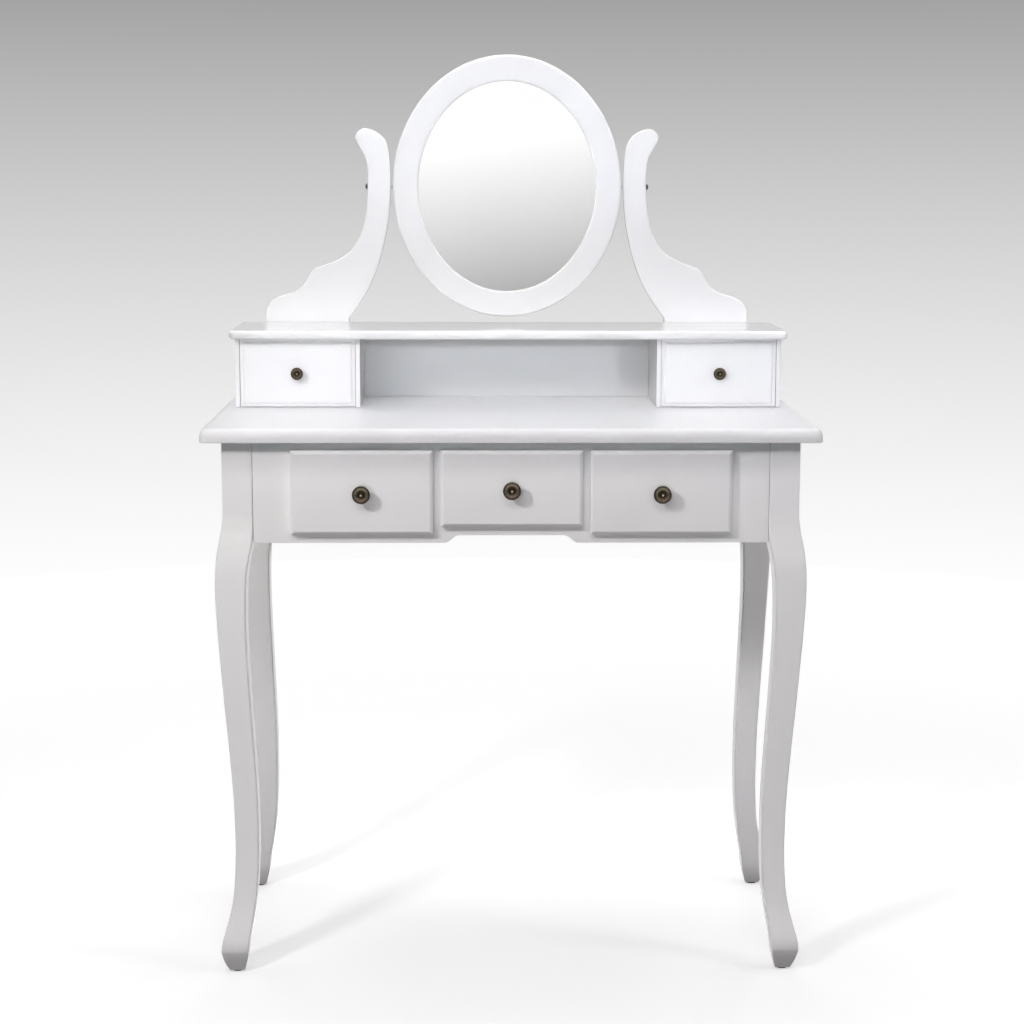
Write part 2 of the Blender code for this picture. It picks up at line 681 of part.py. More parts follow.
def make_brackets(lacquer, black_metal):
    """The scroll brackets, bored for the pivot bolts and screwed to the back of the hutch."""
    outline = bracket_outline()
    y_back = bracket_y + bracket_thick
    reach = bracket_reach()
    for side, name in ((-1, "left"), (1, "right")):
        shape = prism([(side * x, z) for x, z in outline], bracket_y, y_back, bracket_ease)
        bracket = place(f"mirror_bracket_{name}", shape, lacquer)
        bore = pin(bolt_radius + pivot_gap, (side * (bracket_x - cut_overrun), pivot_y, pivot_z),
                   (side * (reach + cut_overrun), pivot_y, pivot_z))
        cut(bracket, f"cutter_bore_{name}", bore)
        cut(bracket, f"cutter_shanks_{name}", screw_holes(bracket_y - cut_overrun, y_back - screw_sink / 2, side))
    for side, name, number, x in bracket_screws():
        bracket = bpy.data.objects[f"mirror_bracket_{name}"]
        sink = pin(screw_head_radius + fit_gap, (x, y_back - screw_sink, screw_z), (x, y_back + cut_overrun, screw_z))
        cut(bracket, f"cutter_sink_{name}_{number}", sink)
        tip = hutch_rail_y + hutch_rail_thick - screw_bite
        under_head = y_back - screw_sink + fit_gap - tip
        profile = [(0, 0), (screw_radius, 0), (screw_radius, under_head), (screw_head_radius, under_head),
                   (screw_head_radius, under_head + screw_head_thick), (0, under_head + screw_head_thick)]
        screw = turned(profile, (x, tip, screw_z), (0, 1, 0), pin_segments)
        place(f"bracket_screw_{name}_{number}", screw, black_metal)


def main():
    clear_scene()
    lacquer = material("white_lacquer", (0.86, 0.86, 0.87), 0.35)
    bare_wood = material("bare_wood", (0.72, 0.56, 0.38), 0.7)
    hardboard = material("hardboard", (0.36, 0.22, 0.12), 0.75)
    bronze = material("antique_bronze", (0.16, 0.12, 0.08), 0.4, 0.9)
    silver = material("mirror_glass", (0.82, 0.84, 0.84), 0.03, 1.0)
    rubber = material("glide_plastic", (0.05, 0.045, 0.04), 0.6)
    black_metal = material("dark_steel", (0.09, 0.085, 0.08), 0.4, 0.9)
    half = top_width / 2
    slab = board(half, rim_y, back_y, under_top, table_height, top_corner_round, 0, top_edge_round)
    place("table_top", slab, lacquer)
    make_legs(lacquer, rubber)
    make_front_apron(lacquer)
    make_other_aprons(lacquer)
    make_runners(bare_wood)
    make_lower_drawers((lacquer, bare_wood, hardboard, bronze))
    make_hutch(lacquer)
    make_small_drawers((lacquer, bare_wood, hardboard, bronze))
    make_brackets(lacquer, black_metal)
    make_mirror(lacquer, silver, hardboard, black_metal)


main()
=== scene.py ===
"""Looks of the dressing table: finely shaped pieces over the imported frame, finishes, a plain studio and a camera."""
import math

import bmesh
import bpy
from mathutils import Matrix, Vector


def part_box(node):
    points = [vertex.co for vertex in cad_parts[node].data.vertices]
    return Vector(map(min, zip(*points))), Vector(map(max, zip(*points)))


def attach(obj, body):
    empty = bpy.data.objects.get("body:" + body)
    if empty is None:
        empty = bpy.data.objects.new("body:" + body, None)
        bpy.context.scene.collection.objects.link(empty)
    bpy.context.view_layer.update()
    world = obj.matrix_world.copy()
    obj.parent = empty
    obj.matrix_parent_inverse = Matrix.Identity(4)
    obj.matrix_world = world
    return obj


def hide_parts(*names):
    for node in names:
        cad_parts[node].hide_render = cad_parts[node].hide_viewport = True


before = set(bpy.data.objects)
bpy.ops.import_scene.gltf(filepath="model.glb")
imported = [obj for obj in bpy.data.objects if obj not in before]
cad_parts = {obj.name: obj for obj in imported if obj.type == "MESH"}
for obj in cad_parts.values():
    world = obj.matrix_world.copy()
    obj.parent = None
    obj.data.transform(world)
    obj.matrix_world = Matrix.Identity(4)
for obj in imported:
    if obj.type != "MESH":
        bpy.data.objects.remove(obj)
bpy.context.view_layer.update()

# Camera
camera_place = (-0.054528, -2.933534, 1.065006)
camera_yaw = 0.020017
camera_pitch = 0.159551
camera_roll = 0.002276
camera_lens = 75.789
camera_sensor = 36.0
camera_clip = (0.05, 100.0)

# Fits and small edges, in metres
fit_gap = 0.0003
edge_ease = 0.0008
box_ease = 0.0006
joint_ease = 0.0010
board_seam = 0.0001
least_round = 0.0001
cut_past = 0.01
same_point = 0.000001
# How far in from both faces the middle of a coarse rounding lies, as a share of its radius
middle_share = 0.3

# Boards
top_edge_round = 0.008
top_edge_drop = 1.6
top_corner_round = 0.010
hutch_top_round = 0.0055
hutch_top_corner = 0.008
apron_rise = 0.010
apron_rise_half_width = 0.068
apron_ogee_run = 0.019
apron_hole_gap = 0.001
apron_hole_head = 0.006

# Legs; the toe's rounding starts at a number of times the height of its crease
leg_block = 0.039
leg_side_inset = 0.0265
leg_proud = 0.001
leg_curve_top = 0.617
leg_swing = 0.0115
back_leg_splay = 0.004
leg_block_arris = 0.0016
leg_corner_round = 0.0024
leg_toe_round = 0.0016
leg_arris_run = 0.050
toe_round_start = 3
toe_crease_round = 0.0022
toe_facet_pull = -0.0012
glide_height = 0.003
glide_round = 0.001

# Drawers; a bevel's width and depth, and the small turns at its edges
drawer_bevel = (0.0040, 0.0038)
small_bevel = (0.0064, 0.0025)
small_rim = 0.0038
bevel_turn = 0.00042
turn_near_share = 0.1
turn_far_share = 0.25
rim_fall_share = 0.4
front_corner = 0.0006
drawer_wall = 0.009
small_wall = 0.007
drawer_groove = 0.004
small_groove = 0.003
stud_radius = 0.002

# Mirror, and the plated points behind it
mirror_border = 0.0368
mirror_lip = 0.005
mirror_rebate = 0.005
mirror_outer_round = 0.004
mirror_inner_round = 0.003
glass_bevel = 0.0006
point_count = 8
point_length = 0.016
point_width = 0.007
point_thick = 0.0006
point_bite = 0.003
point_seat = 0.0002
point_lift = 0.0006
point_lift_start = 0.6

# Brackets, bolts, spacers and screws
bracket_spread = 0.1818
bracket_rim_round = 0.0025
mitre_limit = 0.3
bolt_radius = 0.0025
bolt_ease = 0.0004
bolt_head_radius = 0.004
bolt_head_thick = 0.003
bolt_head_rim = 0.0012
bolt_head_ease = 0.0003
spacer_radius = 0.0036
spacer_bore = 0.0026
spacer_ease = 0.0004
screw_radius = 0.002
screw_tip = ((0.0, 0.0), (0.0008, 0.0012), (screw_radius, 0.003))
screw_head_radius = 0.004
screw_head_thick = 0.003
screw_head_rim = 0.0012
screw_dome_fall = 0.0018
screw_dome_power = 2.2
screw_sink = 0.004
cross_half_width = 0.00055
cross_reach = 0.0024
cross_depth = 0.0013
cross_slope = 0.0012

# Angles in degrees above which edges stay sharp, and above which the front apron's are rounded
sharp_angle = 40
front_sharp_angle = 30
screw_sharp_angle = 35
knob_sharp_angle = 60
apron_round_angle = 50

# A face belongs to an arris when it is narrower and smaller than this, and bends by more degrees than this
arris_width = 0.0035
arris_area = 0.0004
arris_bend = 6

# Height along the leg's curve, outward swing, and width against the block: from the block to the toe's crease
leg_shape_shares = [
    (1.000, 0.00, 1.000), (0.968, 0.18, 1.050), (0.935, 0.54, 1.115), (0.886, 0.87, 1.070),
    (0.831, 0.92, 1.020), (0.766, 0.78, 0.960), (0.701, 0.58, 0.920), (0.601, 0.22, 0.885),
    (0.490, -0.21, 0.850), (0.384, -0.55, 0.825), (0.272, -0.68, 0.800), (0.190, -0.50, 0.795),
    (0.141, -0.15, 0.805), (0.101, 0.40, 0.860), (0.070, 0.86, 0.910), (0.050, 1.00, 0.920),
]

# The same from the toe's crease to near the floor
toe_shape_shares = [
    (0.050, 1.00, 0.920), (0.0412, 0.90, 0.874), (0.0287, 0.74, 0.790), (0.0152, 0.44, 0.654), (0.0057, 0.16, 0.528),
]

# Bracket outline from its outer foot over the crown to its inner foot: shares of its spread and height
bracket_outline_shares = [
    (1.000, 0.066), (0.963, 0.105), (0.899, 0.131), (0.828, 0.145), (0.762, 0.159), (0.708, 0.185),
    (0.673, 0.218), (0.645, 0.251), (0.601, 0.280), (0.540, 0.296), (0.442, 0.319), (0.337, 0.361),
    (0.261, 0.428), (0.217, 0.505), (0.190, 0.608), (0.180, 0.747), (0.196, 0.842), (0.242, 0.902),
    (0.277, 0.948), (0.255, 0.982), (0.198, 1.000), (0.107, 0.981), (0.043, 0.942), (0.015, 0.889),
    (0.002, 0.800), (0.000, 0.706), (0.014, 0.558), (0.050, 0.418), (0.106, 0.285), (0.175, 0.180),
    (0.252, 0.097), (0.329, 0.028), (0.337, 0.010),
]

# Knob profile from its foot to its middle: shares of its radius and reach, and how far its patina is rubbed away;
# where this is highest, on the tip of the dome, it also paints a highlight
knob_shape_shares = [
    (0.56, 0.000, 0.0), (0.56, 0.070, 0.3), (0.38, 0.160, 0.0), (0.38, 0.400, 0.0), (0.66, 0.520, 0.1),
    (0.92, 0.600, 0.0), (0.99, 0.680, 0.1), (1.00, 0.745, 0.1), (0.98, 0.810, 0.1), (0.90, 0.850, 0.0),
    (0.82, 0.862, 0.2), (0.77, 0.890, 0.5), (0.70, 0.915, 0.6), (0.60, 0.920, 0.6), (0.50, 0.895, 0.5),
    (0.42, 0.855, 0.3), (0.34, 0.835, 0.1), (0.26, 0.835, 0.0), (0.20, 0.870, 0.1), (0.15, 0.935, 0.6),
    (0.08, 0.985, 1.0), (0.00, 1.000, 1.0),
]

# Half outline of a point behind the mirror, from its waist to its tip: shares of its tail and of its width
point_tail_shares = [(0.0, 0.5), (0.55, 0.5), (0.85, 0.32), (1.0, 0.0)]

# Steps on round shapes
edge_steps = 8
top_edge_steps = 12
rear_edge_steps = 4
glide_edge_steps = 5
corner_steps = 6
front_corner_steps = 3
leg_steps = 8
knob_steps = 4
ogee_steps = 24
bracket_steps = 8
bolt_dome_steps = 8
screw_dome_steps = 14
ease_segments = 3
box_ease_segments = 2
ellipse_segments = 240
knob_segments = 72
screw_segments = 64
pin_segments = 40
floor_segments = 128
stud_hole_sides = 4 * (front_corner_steps + 1)

sides = ((-1, "left"), (1, "right"))
lower_drawers = ("drawer_left", "drawer_middle", "drawer_right")
small_drawers = ("small_drawer_left", "small_drawer_right")


def world_box(node):
    """Lowest corner, highest corner and middle of a CAD node."""
    low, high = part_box(node)
    return low, high, (low + high) / 2


# Shape helpers

def smooth_path(points, steps):
    """Points of a Catmull-Rom curve through the given points, with steps to a span."""
    path = []
    ends = [points[0], *points, points[-1]]
    for a, b, c, d in zip(ends, ends[1:], ends[2:], ends[3:]):
        for step in range(steps):
            t = step / steps
            path.append([0.5 * (2 * q + (r - p) * t + (2 * p - 5 * q + 4 * r - s) * t ** 2
                                + (3 * q - p - 3 * r + s) * t ** 3) for p, q, r, s in zip(a, b, c, d)])
    path.append(list(points[-1]))
    return path


def arc(centre, radius, start, end, steps):
    """Points on an arc, angles in degrees."""
    angles = [math.radians(start + (end - start) * i / steps) for i in range(steps + 1)]
    return [(centre[0] + radius * math.cos(a), centre[1] + radius * math.sin(a)) for a in angles]


def quarter(radius, steps=edge_steps):
    """Inset and depth along a rounded edge, from the face to the side."""
    turns = [math.pi / 2 * i / steps for i in range(steps + 1)]
    return [(radius * (1 - math.sin(a)), radius * (1 - math.cos(a))) for a in turns]


def loft(rings, closed=False, wear_and_highlight=None):
    """Join rings of equally many points with quads. A ring of one point is a pole. Open ends are capped."""
    mesh_data = bmesh.new()
    layer = mesh_data.verts.layers.float.new("wear_and_highlight")
    rows = []
    for index, ring in enumerate(rings):
        row = [mesh_data.verts.new(point) for point in ring]
        for vert in row:
            vert[layer] = wear_and_highlight[index] if wear_and_highlight else 0.0
        rows.append(row)
    pairs = list(zip(rows, rows[1:]))
    if closed:
        pairs.append((rows[-1], rows[0]))
    for first, second in pairs:
        count = max(len(first), len(second))
        for i in range(count):
            j = (i + 1) % count
            corners = [first[i % len(first)], first[j % len(first)], second[j % len(second)], second[i % len(second)]]
            mesh_data.faces.new(list(dict.fromkeys(corners)))
    if not closed:
        for row in (rows[0], rows[-1]):
            if len(row) > 2:
                mesh_data.faces.new(row)
    return mesh_data


def turned(profile, foot, direction, segments=pin_segments, wear_and_highlight=None, closed=False):
    """Spin a profile of radius, height points about an axis through a point."""
    rings = []
    for radius, height in profile:
        if radius < same_point:
            rings.append([(0, 0, height)])
            continue
        angles = [math.tau * i / segments for i in range(segments)]
        rings.append([(radius * math.cos(a), radius * math.sin(a), height) for a in angles])
    mesh_data = loft(rings, closed, wear_and_highlight)
    turn = Vector((0, 0, 1)).rotation_difference(Vector(direction)).to_matrix().to_4x4()
    bmesh.ops.transform(mesh_data, matrix=Matrix.Translation(foot) @ turn, verts=mesh_data.verts)
    return mesh_data


def eased_block(low, high, ease):
    """A box whose edges are all rounded by the same small radius."""
    mesh_data = bmesh.new()
    size = [b - a for a, b in zip(low, high)]
    middle = [(a + b) / 2 for a, b in zip(low, high)]
    bmesh.ops.create_cube(mesh_data, size=1, matrix=Matrix.Translation(middle) @ Matrix.Diagonal((*size, 1)))
    bmesh.ops.bevel(mesh_data, geom=list(mesh_data.edges), offset=ease, segments=ease_segments, profile=0.5,
                    affect="EDGES")
    return mesh_data


def mark_arrises(mesh_data):
    """Note on each face whether it belongs to a narrow rounded edge, where the lacquer is thinner."""
    layer = mesh_data.faces.layers.float.new("arris")
    for face in mesh_data.faces:
        narrow = min(edge.calc_length() for edge in face.edges) < arris_width
        bent = any(len(edge.link_faces) == 2 and edge.calc_face_angle(0) > math.radians(arris_bend)
                   for edge in face.edges)
        face[layer] = 1.0 if narrow and bent and face.calc_area() < arris_area else 0.0


def placed(name, data):
    """A new object in the scene."""
    made = bpy.data.objects.new(name, data)
    bpy.context.scene.collection.objects.link(made)
    return made


def meshed(name, mesh_data):
    """A mesh made from a bmesh, which is used up."""
    mesh = bpy.data.meshes.new(name)
    mesh_data.to_mesh(mesh)
    mesh_data.free()
    return mesh


def weigh_normals(made):
    """Shade flat faces flat beside their rounded edges."""
    normals = made.modifiers.new("weighted_normals", "WEIGHTED_NORMAL")
    normals.keep_sharp = True


def dress(name, mesh_data, body, finish, nodes=(), sharp=sharp_angle, weighted=True):
    """Turn a bmesh into a piece that rides on a body and stands for its CAD nodes."""
    bmesh.ops.recalc_face_normals(mesh_data, faces=mesh_data.faces)
    mark_arrises(mesh_data)
    mesh = meshed(name, mesh_data)
    mesh.materials.append(finish)
    mesh.shade_smooth()
    mesh.set_sharp_from_angle(angle=math.radians(sharp))
    made = placed(name, mesh)
    if weighted:
        weigh_normals(made)
    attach(made, body)
    if nodes:
        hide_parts(*nodes)
    return made


def carve(mesh_data, *cutters):
    """The bmesh with closed cutters taken away."""
    objects = []
    for part in (mesh_data, *cutters):
        bmesh.ops.recalc_face_normals(part, faces=part.faces)
        objects.append(placed("carving", meshed("carving", part)))
    target = objects[0]
    for cutter in objects[1:]:
        modifier = target.modifiers.new("cut", "BOOLEAN")
        modifier.operation = "DIFFERENCE"
        modifier.solver = "EXACT"
        modifier.object = cutter
    evaluated = target.evaluated_get(bpy.context.evaluated_depsgraph_get())
    result = bmesh.new()
    result.from_mesh(evaluated.to_mesh())
    evaluated.to_mesh_clear()
    for made in objects:
        mesh = made.data
        bpy.data.objects.remove(made)
        bpy.data.meshes.remove(mesh)
    bmesh.ops.remove_doubles(result, verts=result.verts, dist=same_point)
    return result


# Material helpers

class Nodes:
    """A node tree under construction, with short ways to add and join nodes."""

    def __init__(self, tree):
        self.tree = tree

    def feed(self, socket, value):
        """Join an output to a socket, or set the socket to a value."""
        if isinstance(value, bpy.types.NodeSocket):
            self.tree.links.new(value, socket)
        else:
            socket.default_value = value

    def add(self, kind, inputs=None, **settings):
        """A new node with its settings, its inputs fed by name or number."""
        node = self.tree.nodes.new(kind)
        for key, value in settings.items():
            setattr(node, key, value)
        for key, value in (inputs or {}).items():
            self.feed(node.inputs[key], value)
        return node

    def spread(self, value, low, high, start=0.3, end=0.7, kind="LINEAR"):
        """Map a value that runs from start to end, by default a noise's usual range, onto low to high."""
        inputs = {"Value": value, "From Min": start, "From Max": end, "To Min": low, "To Max": high}
        return self.add("ShaderNodeMapRange", inputs, interpolation_type=kind).outputs["Result"]

    def math(self, operation, first, second):
        return self.add("ShaderNodeMath", {0: first, 1: second}, operation=operation).outputs["Value"]


class Finish(Nodes):
    """A material under construction, made of the principled shader."""

    def __init__(self, name, **constants):
        self.material = bpy.data.materials.new(name)
        self.material.use_nodes = True
        super().__init__(self.material.node_tree)
        self.shader = self.tree.nodes["Principled BSDF"]
        for socket, value in constants.items():
            self.set(socket.replace("_", " "), value)
        self.place = self.add("ShaderNodeTexCoord").outputs["Object"]

    def set(self, socket, value):
        self.feed(self.shader.inputs[socket], value)

    def stretched(self, axis, along, across):
        """Object coordinates scaled by one number along an axis and by another across it."""
        scale = [along if i == axis else across for i in range(3)]
        return self.add("ShaderNodeMapping", {"Vector": self.place, "Scale": scale}).outputs["Vector"]

    def noise(self, scale, detail=3.0, vector=None, distortion=0.0, roughness=0.5):
        inputs = {"Vector": vector or self.place, "Scale": scale, "Detail": detail, "Roughness": roughness,
                  "Distortion": distortion}
        return self.add("ShaderNodeTexNoise", inputs).outputs["Fac"]

    def blend(self, share, first, second):
        """Mix two colours, or sockets that carry colours."""
        node = self.add("ShaderNodeMix", data_type="RGBA")
        for name, kind, value in (("Factor", "VALUE", share), ("A", "RGBA", first), ("B", "RGBA", second)):
            socket = next(s for s in node.inputs if s.name == name and s.type == kind)
            self.feed(socket, (*value, 1.0) if isinstance(value, tuple) else value)
        return next(s for s in node.outputs if s.type == "RGBA")

    def attribute(self, name):
        return self.add("ShaderNodeAttribute", attribute_name=name).outputs["Fac"]

    def bump(self, height, distance, strength):
        inputs = {"Height": height, "Distance": distance, "Strength": strength}
        return self.add("ShaderNodeBump", inputs).outputs["Normal"]


# Finishes

def lacquer(roughness, sheen=0.0):
    """White lacquer: faint clouding and specks, fine orange peel, and thinner paint on the arrises."""
    dull, bright, dust, thin = (0.850, 0.850, 0.855), (0.872, 0.870, 0.874), (0.72, 0.71, 0.70), (0.80, 0.79, 0.76)
    look = Finish("white_lacquer", IOR=1.46, Coat_Weight=0.05, Coat_Roughness=0.08, Sheen_Weight=sheen,
                  Sheen_Roughness=0.30)
    cloud = look.spread(look.noise(scale=5.0, detail=4.0), 0.0, 1.0)
    speck = look.spread(look.noise(scale=900.0, detail=2.0), 0.0, 0.05, start=0.62, end=0.80)
    coat = look.blend(speck, look.blend(cloud, dull, bright), dust)
    worn = look.math("MULTIPLY", look.attribute("arris"), look.spread(look.noise(scale=60.0, detail=4.0), 0.0, 0.22))
    look.set("Base Color", look.blend(worn, coat, thin))
    gloss = look.spread(look.noise(scale=38.0), *roughness)
    look.set("Roughness", look.math("ADD", gloss, look.math("MULTIPLY", worn, 0.3)))
    look.set("Normal", look.bump(look.noise(scale=300.0, detail=2.0), distance=0.00001, strength=0.5))
    return look.material


def bare_wood(name, axis):
    """Sanded pine whose grain runs along one axis: growth bands, fine fibres and a few darker flecks."""
    pale, warm, band, fleck = (0.74, 0.56, 0.36), (0.66, 0.47, 0.28), (0.50, 0.31, 0.16), (0.42, 0.26, 0.14)
    look = Finish(name, IOR=1.45)
    bands_at = look.stretched(axis, along=0.55, across=9.0)
    wave = {"Vector": bands_at, "Scale": 3.2, "Distortion": 5.0, "Detail": 2.0, "Detail Scale": 0.8}
    bands = look.add("ShaderNodeTexWave", wave, wave_type="BANDS", bands_direction="DIAGONAL", wave_profile="SAW")
    fibres = look.noise(scale=1.0, vector=look.stretched(axis, along=22.0, across=1400.0))
    ground = look.blend(look.spread(look.noise(scale=1.6, vector=bands_at), 0.0, 1.0), pale, warm)
    grain = look.blend(look.math("MULTIPLY", bands.outputs["Fac"], 0.55), ground, band)
    look.set("Base Color", look.blend(look.spread(fibres, 0.0, 0.45, start=0.45, end=0.75), grain, fleck))
    look.set("Roughness", look.spread(fibres, 0.58, 0.74))
    look.set("Normal", look.bump(fibres, distance=0.0001, strength=0.5))
    return look.material


def hardboard():
    """Brown pressed board with matted fibres."""
    dark, light, stain = (0.23, 0.135, 0.075), (0.37, 0.235, 0.14), (0.19, 0.11, 0.06)
    look = Finish("hardboard", IOR=1.45)
    mat = look.noise(scale=260.0, detail=6.0, distortion=1.2, roughness=0.65)
    cloud = look.spread(look.noise(scale=14.0, detail=4.0), 0.0, 0.35)
    look.set("Base Color", look.blend(cloud, look.blend(look.spread(mat, 0.0, 1.0), dark, light), stain))
    look.set("Roughness", look.spread(mat, 0.62, 0.82))
    look.set("Normal", look.bump(mat, distance=0.00012, strength=0.6))
    return look.material


def antique_bronze():
    """Dark patinated bronze, rubbed bright where fingers touch the ridges, with a painted highlight on the tip of the
    dome.
    """
    dark, light = (0.019, 0.0145, 0.011), (0.048, 0.037, 0.026)
    # rubbed is worn bronze; bright is a painted highlight for the tip of the dome, which is also rubbed there
    rubbed, bright = (0.135, 0.112, 0.078), (0.50, 0.42, 0.29)
    look = Finish("antique_bronze", Metallic=1.0)
    patch = look.noise(scale=700.0, detail=4.0)
    wear_and_highlight = look.attribute("wear_and_highlight")
    rub = look.math("MULTIPLY", look.spread(wear_and_highlight, 0.0, 1.0, start=0.0, end=0.6), look.spread(patch, 0.5, 1.0))
    ridge = look.blend(rub, look.blend(look.spread(patch, 0.0, 1.0), dark, light), rubbed)
    # Painted highlight: the bright colour where the value is highest, on the dome's tip
    look.set("Base Color", look.blend(look.spread(wear_and_highlight, 0.0, 1.0, start=0.72, end=1.0), ridge, bright))
    look.set("Roughness", look.spread(patch, 0.24, 0.38))
    look.set("Normal", look.bump(patch, distance=0.00006, strength=0.5))
    return look.material


def silvered_glass():
    """A clear silvered mirror with the faintest haze of dust."""
    look = Finish("mirror_glass", Metallic=1.0)
    haze = look.noise(scale=9.0, detail=5.0)
    look.set("Base Color", look.blend(look.spread(haze, 0.0, 1.0), (0.935, 0.935, 0.935), (0.95, 0.95, 0.95)))
    look.set("Roughness", look.spread(haze, 0.0, 0.012, start=0.45, end=0.75))
    return look.material


def speckled(name, scale, dark, light, roughness, relief, strength=0.5, **constants):
    """A material whose colour, gloss and relief vary by one fine noise."""
    look = Finish(name, **constants)
    patch = look.noise(scale)
    look.set("Base Color", look.blend(look.spread(patch, 0.0, 1.0), dark, light))
    look.set("Roughness", look.spread(patch, *roughness))
    look.set("Normal", look.bump(patch, relief, strength))
    return look.material


# Least and greatest roughness of the lacquer, and of its polish on the two tops
satin = (0.115, 0.14)
polish = (0.045, 0.06)

white = lacquer(satin)
top_white = lacquer(polish, sheen=1.0)
polished_white = lacquer(polish)
wood_x = bare_wood("bare_wood_across", 0)
wood_y = bare_wood("bare_wood_along", 1)
fibreboard = hardboard()
bronze = antique_bronze()
blackened = speckled("dark_steel", 900.0, (0.05, 0.048, 0.045), (0.13, 0.125, 0.12), roughness=(0.28, 0.45),
                     relief=0.00003, Metallic=1.0)
zinc = speckled("zinc_steel", 500.0, (0.48, 0.49, 0.50), (0.64, 0.65, 0.66), roughness=(0.26, 0.40),
                relief=0.00004, strength=0.4, Metallic=1.0)
silver = silvered_glass()
plastic = speckled("glide_plastic", 1200.0, (0.035, 0.032, 0.030), (0.065, 0.060, 0.055), roughness=(0.45, 0.65),
                   relief=0.00005, IOR=1.49)


# Table top and the hutch's top

def board_plan(low, high, front_round, back_round, inset, back_inset):
    """Plan of a board, drawn in at its front and sides by one amount and at its back by another."""
    corners = ((low.x, low.y, 180, front_round, 1, 1), (high.x, low.y, 270, front_round, -1, 1),
               (high.x, high.y, 0, back_round, -1, -1), (low.x, high.y, 90, back_round, 1, -1))
    points = []
    for x, y, start, radius, to_x, to_y in corners:
        centre = (x + to_x * radius, y + to_y * radius)
        reach_x = max(radius - inset, least_round)
        reach_y = max(radius - (back_inset if to_y < 0 else inset), least_round)
        for i in range(corner_steps + 1):
            angle = math.radians(start + 90 * i / corner_steps)
            points.append((centre[0] + reach_x * math.cos(angle), centre[1] + reach_y * math.sin(angle)))
    return points


def round_board(low, high, front_round, under_round, upper_round, drop=1.0):
    """A board with rounded front and side edges and slightly eased back edges."""
    back_round = upper_round + edge_ease
    levels = [(inset, low.z + depth) for inset, depth in quarter(under_round)]
    levels += [(inset, high.z - depth * drop) for inset, depth in reversed(quarter(upper_round, top_edge_steps))]
    rings = []
    for inset, z in levels:
        rise = max(0.0, edge_ease - min(z - low.z, high.z - z))
        back_inset = edge_ease - math.sqrt(edge_ease ** 2 - rise ** 2)
        rings.append([(x, y, z) for x, y in board_plan(low, high, front_round, back_round, inset, back_inset)])
    return loft(rings)


def make_tops():
    low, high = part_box("table_top")
    board = round_board(low, high, top_corner_round, edge_ease, top_edge_round, top_edge_drop)
    dress("table_top_board", board, "table", top_white, ["table_top"])
    low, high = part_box("hutch_top")
    board = round_board(low, high, hutch_top_corner, hutch_top_round, hutch_top_round)
    dress("hutch_top_board", board, "table", polished_white, ["hutch_top"])


# Legs and glides

def leg_stations():
    """Height, swing to the side and to the front, width and corner radius down one leg, in metres."""
    rows, below = ([(z * leg_curve_top, swing * leg_swing, width * leg_block)
                    for z, swing, width in smooth_path(shares, leg_steps)]
                   for shares in (leg_shape_shares, toe_shape_shares))
    before, last = below[-2:]
    fall = (last[0] - glide_height) / (before[0] - last[0])
    below.append((glide_height, *(b + (b - a) * fall for a, b in zip(before[1:], last[1:]))))
    crease = rows[-1]
    floor = below[-1]
    slope = (crease[1] - floor[1] + toe_facet_pull) / (crease[0] - floor[0])
    rows = [(z, swing, swing, width) for z, swing, width in rows]
    below = [(z, swing, crease[1] - slope * (crease[0] - z), width) for z, swing, width in below]

    def away(path):
        """First point of a path at the crease's rounding distance."""
        return next(row for row in path if abs(row[0] - crease[0]) >= toe_crease_round)

    start = away(reversed(rows))
    end = away(below)
    bend = rows[-1]
    rows = [row for row in rows if row[0] > start[0]]
    for i in range(corner_steps + 1):
        t = i / corner_steps
        rows.append(tuple((1 - t) ** 2 * a + 2 * t * (1 - t) * b + t ** 2 * c for a, b, c in zip(start, bend, end)))
    rows += [row for row in below if row[0] < end[0]]
    stations = []
    for z, swing, front, width in rows:
        curved = min(1.0, max(0.0, (leg_curve_top - z) / leg_arris_run))
        low = min(1.0, max(0.0, (toe_round_start * crease[0] - z) / ((toe_round_start - 1) * crease[0])))
        radius = leg_block_arris + (leg_corner_round - leg_block_arris) * curved
        stations.append((z, swing, front, width, radius + (leg_toe_round - leg_corner_round) * low))
    return stations


def leg(side, end, top_z, face_y, side_x):
    """One leg from under the table top to its glide."""
    head = (0, 0, leg_block, leg_block_arris)
    stations = [(top_z, *head), (top_z - edge_ease, *head)] + leg_stations()
    rings = []
    for z, swing, front, width, radius in stations:
        lean = back_leg_splay * max(0, 1 - z / leg_curve_top) if end > 0 else 0
        outer_x = side_x + lean + swing
        inner_x, inner_y = outer_x - width, swing - width
        ring = []
        for sx, sy, start in ((1, 1, 0), (-1, 1, 90), (-1, -1, 180), (1, -1, 270)):
            x = (outer_x - radius) if sx > 0 else (inner_x + radius)
            y = (front - radius) if sy > 0 else (inner_y + radius)
            ring += arc((x, y), radius, start, start + 90, corner_steps)
        rings.append([(side * x, face_y + end * y, z) for x, y in ring])
    return loft(rings)


def make_legs():
    top_low, top_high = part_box("table_top")
    side_x = top_high.x - leg_side_inset
    face_y = {-1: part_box("front_apron")[0].y - leg_proud, 1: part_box("back_apron")[1].y + leg_proud}
    for end, end_name in ((-1, "front"), (1, "back")):
        for side, name in sides:
            node = f"leg_{end_name}_{name}"
            shape = leg(side, end, top_low.z - fit_gap, face_y[end], side_x)
            dress(f"{node}_carved", shape, "table", white, [node])
            glide = f"glide_{end_name}_{name}"
            low, high, middle = world_box(glide)
            radius = (high.x - low.x) / 2
            foot = [(radius - inset, depth) for inset, depth in quarter(glide_round, glide_edge_steps)]
            profile = [(0, 0), *foot, (radius, high.z), (0, high.z)]
            disc = turned(profile, (middle.x, middle.y, 0), (0, 0, 1))
            dress(f"{glide}_disc", disc, "table", plastic, [glide])


# Aprons and the hutch's panels

